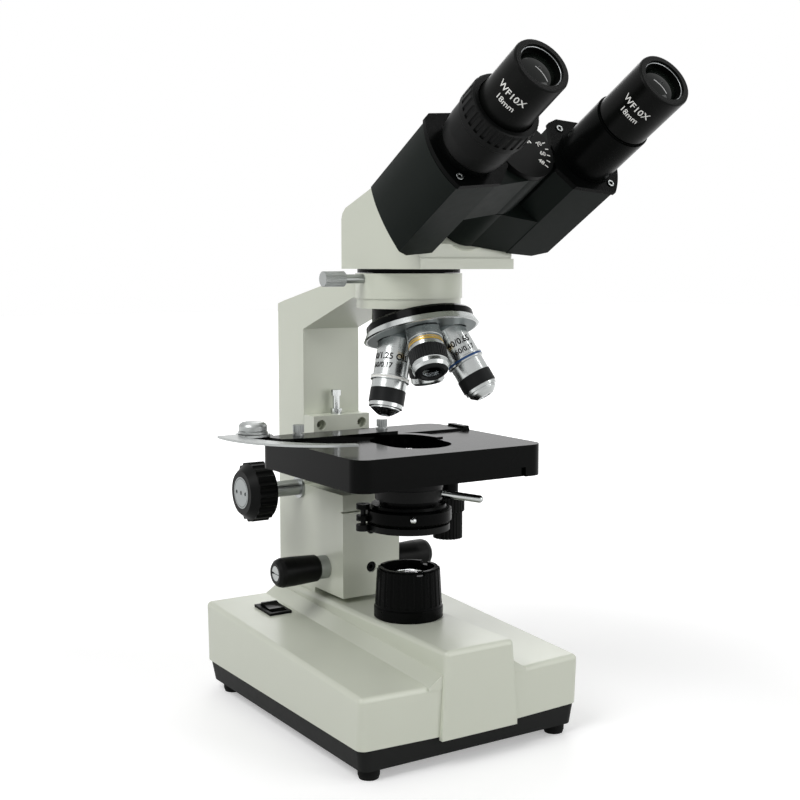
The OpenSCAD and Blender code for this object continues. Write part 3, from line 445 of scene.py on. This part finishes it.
def ring_piece(name, centre, profile, material, body, sides=96):
    """A turned ring about a line along the tubes.

    profile gives the radius and height of each point round a closed section.
    """
    verts, faces, n = [], [], len(profile)
    across = D.cross(X)
    for i in range(sides):
        a = 2 * math.pi * i / sides
        rad = X * math.cos(a) + across * math.sin(a)
        verts += [centre + rad * r + D * h for r, h in profile]
    for i in range(sides):
        here, there = i * n, (i + 1) % sides * n
        for k in range(n):
            after = (k + 1) % n
            faces.append((here + k, here + after, there + after, there + k))
    ob = put(name, mesh_of(name, verts, faces), material, body)
    for f in ob.data.polygons:
        f.use_smooth = True


def tick(name, place, length, breadth, body):
    """A painted line on a surface, given by its two ends and its two sides."""
    verts, faces, parts = [], [], 6
    start, end = length
    for i in range(parts + 1):
        u = start + (end - start) * i / parts
        verts += [place(u, v, TICK_HEIGHT) for v in breadth]
    for i in range(parts):
        faces.append((2 * i, 2 * i + 2, 2 * i + 3, 2 * i + 1))
    put(name, mesh_of(name, verts, faces), ink, body)


def marking(name, text, size, place, material, body, bold):
    """Lettering laid on a surface: place(u, v, h) gives the point for a plan point and a height."""
    cu = bpy.data.curves.new(name + "_line", "FONT")
    cu.body = text
    cu.size = size
    cu.offset = size * bold
    cu.align_x = "CENTER"
    cu.align_y = "CENTER"
    cu.resolution_u = 3
    tmp = bpy.data.objects.new(name + "_line", cu)
    scene.collection.objects.link(tmp)
    bpy.context.view_layer.update()
    flat = bpy.data.meshes.new_from_object(tmp.evaluated_get(bpy.context.evaluated_depsgraph_get()))
    bpy.data.objects.remove(tmp)
    bpy.data.curves.remove(cu)
    bm = bmesh.new()
    bm.from_mesh(flat)
    bpy.data.meshes.remove(flat)
    bmesh.ops.triangulate(bm, faces=bm.faces)
    long_edges = [e for e in bm.edges if e.calc_length() > size * 0.35]
    bmesh.ops.subdivide_edges(bm, edges=long_edges, cuts=2)
    bmesh.ops.remove_doubles(bm, verts=bm.verts, dist=size * 0.001)
    for v in bm.verts:
        v.co = Vector(place(v.co.x, v.co.y, INK_HEIGHT))
    mesh = bpy.data.meshes.new(name)
    bm.to_mesh(mesh)
    bm.free()
    put(name, mesh, material, body)


def round_place(centre, axis, e1, e2, r, angle):
    """Lettering round a cylinder: it runs round, and its tops point along the axis."""
    def place(u, v, h):
        a = angle + u / r
        rad = e1 * math.cos(a) + e2 * math.sin(a)
        return centre + axis * v + rad * (r + h)
    return place


def flat_place(centre, right, up, normal):
    def place(u, v, h):
        return centre + right * u + up * v + normal * h
    return place


OCULARS = ((1, "right_ocular", "right"), (-1, "left_ocular", "left"))

# Eyepiece markings and retaining rings
TEXT_TURN = math.radians(-146)
RIM = [(0.01050, -0.0016), (0.01096, -0.0015), (0.01098, -0.00128),
       (0.01086, -0.00116), (0.01062, -0.0012), (0.01050, -0.0014)]
for side, body, tag in OCULARS:
    rim = eye_frame(side)[0] + D * REACH[side]
    for word, text, size, drop in (
            ("magnification", "WF10X", 0.0050, 0.0128),
            ("field", "18mm", 0.0043, 0.0182)):
        place = round_place(rim - D * drop, D, X, D.cross(X), EYEPIECE_R, TEXT_TURN)
        marking(f"{word}_{tag}", text, size, place, ink, body, 0.010)
    ring_piece(f"retaining_ring_{tag}", rim, RIM, steel, body)

# Eye lenses
lens_shade = Shade("eye_lens_glass")
lens_tone = lens_shade.mix(lens_shade.noise(40, 2), lin(9, 12, 10), lin(14, 18, 15))
lens_shade.set(color=lens_tone, specular=0.2, roughness=0.05)
eye_glass = lens_shade.bump(lens_shade.noise(30, 1), 0.01, 0.0001).mat
LENS_SINK = 0.0021  # the lens's top below the eyepiece's rim
LENS_CURVE = 0.0254
LENS_R = 0.0094
LENS_BACK = -0.0019
LENS_PIN = 0.00002  # the ring of points at the lens's top
LENS_ROWS = 10
lens_radii = [LENS_R * (1 - i / LENS_ROWS) + LENS_PIN for i in range(LENS_ROWS + 1)]
lens_section = [(r, math.sqrt(LENS_CURVE ** 2 - r ** 2) - LENS_CURVE) for r in lens_radii]
lens_section += [(LENS_PIN, LENS_BACK), (LENS_R, LENS_BACK)]
for side, body, tag in OCULARS:
    apex = eye_frame(side)[0] + D * (REACH[side] - LENS_SINK)
    ring_piece(f"eye_lens_{tag}", apex, lens_section, eye_glass, body, 64)

# Screws of the tube covers
COVER_FACE = 0.06702
SCREW_PLACES = ((-0.0125, 0.0155), (0.011, -0.0145))
SCREW_SECTION = [(0.0010, 0.00002), (0.0019, 0.00002), (0.00185, 0.00014),
                 (0.0017, 0.0002), (0.00115, 0.0002), (0.001, 0.0001)]
for side, body, tag in ((1, "right_tube", "right"), (-1, "left_tube", "left")):
    foot, out, up = eye_frame(side)
    for k, (u, v) in enumerate(SCREW_PLACES):
        head = foot + out * u + up * v + D * COVER_FACE
        ring_piece(f"cover_screw_{tag}_{k}", head, SCREW_SECTION, satin_chrome, body, 40)

# Interpupillary scale
DIAL_FACE = HINGE + D * 0.06602


def dial_ray(deg):
    """Outward and sideways directions on the dial's face."""
    a = math.radians(deg)
    return X * math.cos(a) + W * math.sin(a), W * math.cos(a) - X * math.sin(a)


for i, deg in enumerate((18, 2, -14, -30, -46)):
    ray = dial_ray(deg)
    tick(f"scale_tick_{i}", flat_place(DIAL_FACE, *ray, D), (0.0124, 0.0145), (-0.0003, 0.0003),
         "right_tube")
for text, deg in (("70", 19), ("60", -13), ("48", -45)):
    ray = dial_ray(deg)
    place = flat_place(DIAL_FACE + ray[0] * 0.0101, *ray, D)
    marking(f"scale_{text}", text, 0.0035, place, ink, "right_tube", 0.02)
place = flat_place(DIAL_FACE + X * 0.0036 + W * 0.0038, X, W, D)
marking("scale_index", "^", 0.0058, place, ink, "right_tube", 0.03)

# Objective markings: words, barrel radius, heights below the seat and turns from the front
READ_FROM = Vector((-0.4, -0.62, 0.0))  # the side that the words face before they are turned
for tag, first, r, heights, turns in (
        ("100", "100/1.25 OIL", 0.00986, (0.0126, 0.0178), (-25, -42)),
        ("40", "40/0.65", 0.00976, (0.0108, 0.0160), (14, 14)),
        ("10", "10/0.25", 0.00964, (0.0037, 0.0082), (150, 150)),
        ("4", "4/0.1", 0.00964, (0.0042, 0.0120), (0, 0))):
    seat, axis = seats[tag]
    front = READ_FROM - axis * READ_FROM.dot(axis)
    front.normalize()
    aside = (-axis).cross(front)
    for line, text, size in ((1, first, 0.0050), (2, "160/0.17", 0.0042)):
        centre = seat + axis * heights[line - 1]
        place = round_place(centre, -axis, front, aside, r, math.radians(turns[line - 1]))
        name = f"objective_{tag}_line_{line}"
        marking(name, text, size, place, dark_ink, "nosepiece", 0.02)


# Floor, background, lights and camera
def direct_rays(tree):
    """1 for camera, glossy and transmission rays: metal and glass show the pale background too."""
    path = tree.nodes.new("ShaderNodeLightPath")
    out = path.outputs["Is Camera Ray"]
    for kind in ("Is Glossy Ray", "Is Transmission Ray"):
        most = tree.nodes.new("ShaderNodeMath")
        most.operation = "MAXIMUM"
        tree.links.new(out, most.inputs[0])
        tree.links.new(path.outputs[kind], most.inputs[1])
        out = most.outputs[0]
    return out


FLOOR_HALF = 6
FLOOR_MIDDLE = (0, 0.03, 0)
corners = [(-FLOOR_HALF, -FLOOR_HALF, 0), (FLOOR_HALF, -FLOOR_HALF, 0),
           (FLOOR_HALF, FLOOR_HALF, 0), (-FLOOR_HALF, FLOOR_HALF, 0)]
floor = bpy.data.meshes.new("floor")
floor.from_pydata(corners, [], [(0, 1, 2, 3)])
floor_ob = bpy.data.objects.new("floor", floor)
scene.collection.objects.link(floor_ob)
# The floor glows more with distance, so that it fades into the white background
fs = Shade("floor_white")
fs.set(color=(0.8, 0.8, 0.8, 1), roughness=0.55, specular=0.2)
glow = fs.node("ShaderNodeEmission")
glow.inputs["Color"].default_value = (1, 1, 1, 1)
fs.link(fs.span(fs.radius(FLOOR_MIDDLE, (0, 0, 1)), 0.34, 1.0, 0.25, 1.1), glow.inputs["Strength"])
lit = fs.node("ShaderNodeAddShader")
fs.link(fs.bsdf.outputs[0], lit.inputs[0])
fs.link(glow.outputs[0], lit.inputs[1])
floor_mix = fs.node("ShaderNodeMixShader")
fs.link(direct_rays(fs.t), floor_mix.inputs[0])
fs.link(fs.bsdf.outputs[0], floor_mix.inputs[1])
fs.link(lit.outputs[0], floor_mix.inputs[2])
fs.link(floor_mix.outputs[0], fs.out.inputs[0])
floor.materials.append(fs.mat)

LIGHT_LEVEL = 0.27  # the background's strength as a light
SEEN_LEVEL = 1.0  # its strength where it is seen
world = bpy.data.worlds.new("studio")
scene.world = world
world.use_nodes = True
wt = world.node_tree
wt.nodes.clear()
world_mix = wt.nodes.new("ShaderNodeMixShader")
wt.links.new(direct_rays(wt), world_mix.inputs[0])
for socket, strength in ((1, LIGHT_LEVEL), (2, SEEN_LEVEL)):
    background = wt.nodes.new("ShaderNodeBackground")
    background.inputs["Color"].default_value = (1, 1, 1, 1)
    background.inputs["Strength"].default_value = strength
    wt.links.new(background.outputs[0], world_mix.inputs[socket])
wt.links.new(world_mix.outputs[0], wt.nodes.new("ShaderNodeOutputWorld").inputs[0])

# Area lights: place, target, width, height and watts
for name, place, target, width, height, watts in (
        ("key", (-1.1, -0.3, 1.4), (0, 0, 0.25), 0.8, 1.1, 15.5),
        ("fill", (0.9, -1.5, 0.7), (0, 0, 0.2), 1.0, 1.0, 9.5),
        ("top", (0.0, 0.3, 1.6), (0, 0, 0.2), 1.2, 1.2, 3),
        ("rear", (0.9, 1.2, 0.9), (0, 0, 0.25), 0.8, 0.8, 3.5),
        ("strip", (0.95, -0.75, 1.35), (0, -0.1, 0.3), 0.05, 0.7, 1.8)):
    light = bpy.data.lights.new(name, "AREA")
    light.shape = "RECTANGLE"
    light.size = width
    light.size_y = height
    light.energy = watts
    light_ob = bpy.data.objects.new(name, light)
    scene.collection.objects.link(light_ob)
    light_ob.location = place
    light_ob.rotation_euler = (Vector(target) - Vector(place)).to_track_quat("-Z", "Y").to_euler()

# The camera stands at the photograph's angle
CAMERA_PLACE = (-0.3994, -0.6158, 0.269)
CAMERA_DIP = 6.04  # degrees
CAMERA_TURN = -32.58
cam = bpy.data.cameras.new("camera")
cam_ob = bpy.data.objects.new("camera", cam)
scene.collection.objects.link(cam_ob)
cam.sensor_width = 36
cam.lens = 57.67
cam_ob.location = CAMERA_PLACE
cam_ob.rotation_euler = (math.radians(90 - CAMERA_DIP), 0, math.radians(CAMERA_TURN))
scene.camera = cam_ob
